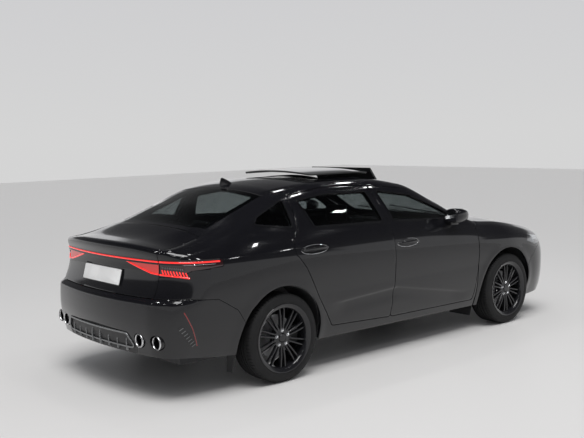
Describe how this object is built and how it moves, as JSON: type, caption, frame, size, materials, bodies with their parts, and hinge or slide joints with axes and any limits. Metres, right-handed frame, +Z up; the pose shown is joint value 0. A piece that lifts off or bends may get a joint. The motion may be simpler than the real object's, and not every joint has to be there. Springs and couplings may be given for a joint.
{
  "type": "four-door fastback sedan car",
  "caption": "Black fastback sedan car with opening doors, hood and trunk lid, steered front wheels and full-width rear lamps.",
  "frame": {"origin": "on the floor, under the middle of the car's overall box", "axes": "+X to the front of the car, +Y to its left, +Z up"},
  "size_m": [4.7798, 2.07, 1.5209],
  "materials": {
    "body_paint": "gloss black",
    "window_glass": "tinted",
    "black_trim": "grained",
    "lamp_clear": "clear",
    "lamp_red": "red lens",
    "bare_steel": "dull",
    "cast_metal": "cast",
    "seat_leather": "soft black",
    "tyre_rubber": "matt",
    "rim_black": "gloss black",
    "disc_iron": "turned"
  },
  "bodies": {
    "root": {"boot_floor": "bare_steel", "cowl": "black_trim", "dashboard": "black_trim", "engine_block": "cast_metal", "exhaust_system": "bare_steel", "firewall": "bare_steel", "fixed_glass": "window_glass", "floor_pan": "bare_steel", "front_bumper": "body_paint", "front_fenders": "body_paint", "front_grille": "black_trim", "front_seats": "seat_leather", "front_structure": "bare_steel", "headlamps": "lamp_clear", "parcel_shelf": "bare_steel", "rear_bumper": "body_paint", "rear_diffuser": "black_trim", "rear_seat": "seat_leather", "rear_structure": "bare_steel", "roof_panel": "body_paint", "side_frame_left": "body_paint", "side_frame_right": "body_paint", "sunroof_deflector": "black_trim", "sunroof_glass": "window_glass", "tail_lamps": "lamp_red", "wheel_liners": "black_trim"},
    "knuckle_left_body": {"knuckle_left": "cast_metal"},
    "knuckle_right_body": {"knuckle_right": "cast_metal"},
    "wheel_front_left": {"tyre_front_left": "tyre_rubber", "rim_front_left": "rim_black", "brake_disc_front_left": "disc_iron"},
    "wheel_front_right": {"tyre_front_right": "tyre_rubber", "rim_front_right": "rim_black", "brake_disc_front_right": "disc_iron"},
    "wheel_rear_left": {"tyre_rear_left": "tyre_rubber", "rim_rear_left": "rim_black", "brake_disc_rear_left": "disc_iron"},
    "wheel_rear_right": {"tyre_rear_right": "tyre_rubber", "rim_rear_right": "rim_black", "brake_disc_rear_right": "disc_iron"},
    "front_door_left_body": {"front_door_left": "body_paint", "front_door_glass_left": "window_glass", "mirror_left": "body_paint"},
    "rear_door_left_body": {"rear_door_left": "body_paint", "rear_door_glass_left": "window_glass"},
    "front_door_right_body": {"front_door_right": "body_paint", "front_door_glass_right": "window_glass", "mirror_right": "body_paint"},
    "rear_door_right_body": {"rear_door_right": "body_paint", "rear_door_glass_right": "window_glass"},
    "hood_body": {"hood": "body_paint"},
    "lid_body": {"trunk_lid": "body_paint", "lid_lamp_bar": "lamp_red"},
    "steering_wheel_body": {"steering_wheel": "black_trim"}
  },
  "joints": [
    {"name": "steer_left", "type": "hinge", "parent": "root", "child": "knuckle_left_body", "pos_m": [1.465, 0.65, 0.3], "axis": [0, 0, 1], "range_deg": [-33, 33]},
    {"name": "steer_right", "type": "hinge", "parent": "root", "child": "knuckle_right_body", "pos_m": [1.465, -0.65, 0.3], "axis": [0, 0, 1], "range_deg": [-33, 33]},
    {"name": "spin_front_left", "type": "hinge", "parent": "knuckle_left_body", "child": "wheel_front_left", "pos_m": [1.465, 0.79, 0.33], "axis": [0, 1, 0], "continuous": true},
    {"name": "spin_front_right", "type": "hinge", "parent": "knuckle_right_body", "child": "wheel_front_right", "pos_m": [1.465, -0.79, 0.33], "axis": [0, 1, 0], "continuous": true},
    {"name": "spin_rear_left", "type": "hinge", "parent": "root", "child": "wheel_rear_left", "pos_m": [-1.325, 0.79, 0.33], "axis": [0, 1, 0], "continuous": true},
    {"name": "spin_rear_right", "type": "hinge", "parent": "root", "child": "wheel_rear_right", "pos_m": [-1.325, -0.79, 0.33], "axis": [0, 1, 0], "continuous": true},
    {"name": "front_door_left_hinge", "type": "hinge", "parent": "root", "child": "front_door_left_body", "pos_m": [0.995, 0.8789, 0.6], "axis": [0, 0, 1], "range_deg": [-65, 0]},
    {"name": "rear_door_left_hinge", "type": "hinge", "parent": "root", "child": "rear_door_left_body", "pos_m": [-0.128, 0.876, 0.6], "axis": [0, 0, 1], "range_deg": [-65, 0]},
    {"name": "front_door_right_hinge", "type": "hinge", "parent": "root", "child": "front_door_right_body", "pos_m": [0.995, -0.8789, 0.6], "axis": [0, 0, 1], "range_deg": [0, 65]},
    {"name": "rear_door_right_hinge", "type": "hinge", "parent": "root", "child": "rear_door_right_body", "pos_m": [-0.128, -0.876, 0.6], "axis": [0, 0, 1], "range_deg": [0, 65]},
    {"name": "hood_hinge", "type": "hinge", "parent": "root", "child": "hood_body", "pos_m": [1.173, 0, 0.995], "axis": [0, 1, 0], "range_deg": [-50, 0]},
    {"name": "lid_hinge", "type": "hinge", "parent": "root", "child": "lid_body", "pos_m": [-1.895, 0, 1.113], "axis": [0, 1, 0], "range_deg": [0, 60]},
    {"name": "steering_wheel_turn", "type": "hinge", "parent": "root", "child": "steering_wheel_body", "pos_m": [0.505, 0.37, 0.868], "axis": [-0.9135, 0, 0.4067], "range_deg": [-462, 462]}
  ],
  "couplings": [
    {"joint": "steer_right", "follows": "steer_left", "ratio": 1},
    {"joint": "steering_wheel_turn", "follows": "steer_left", "ratio": 14}
  ]
}
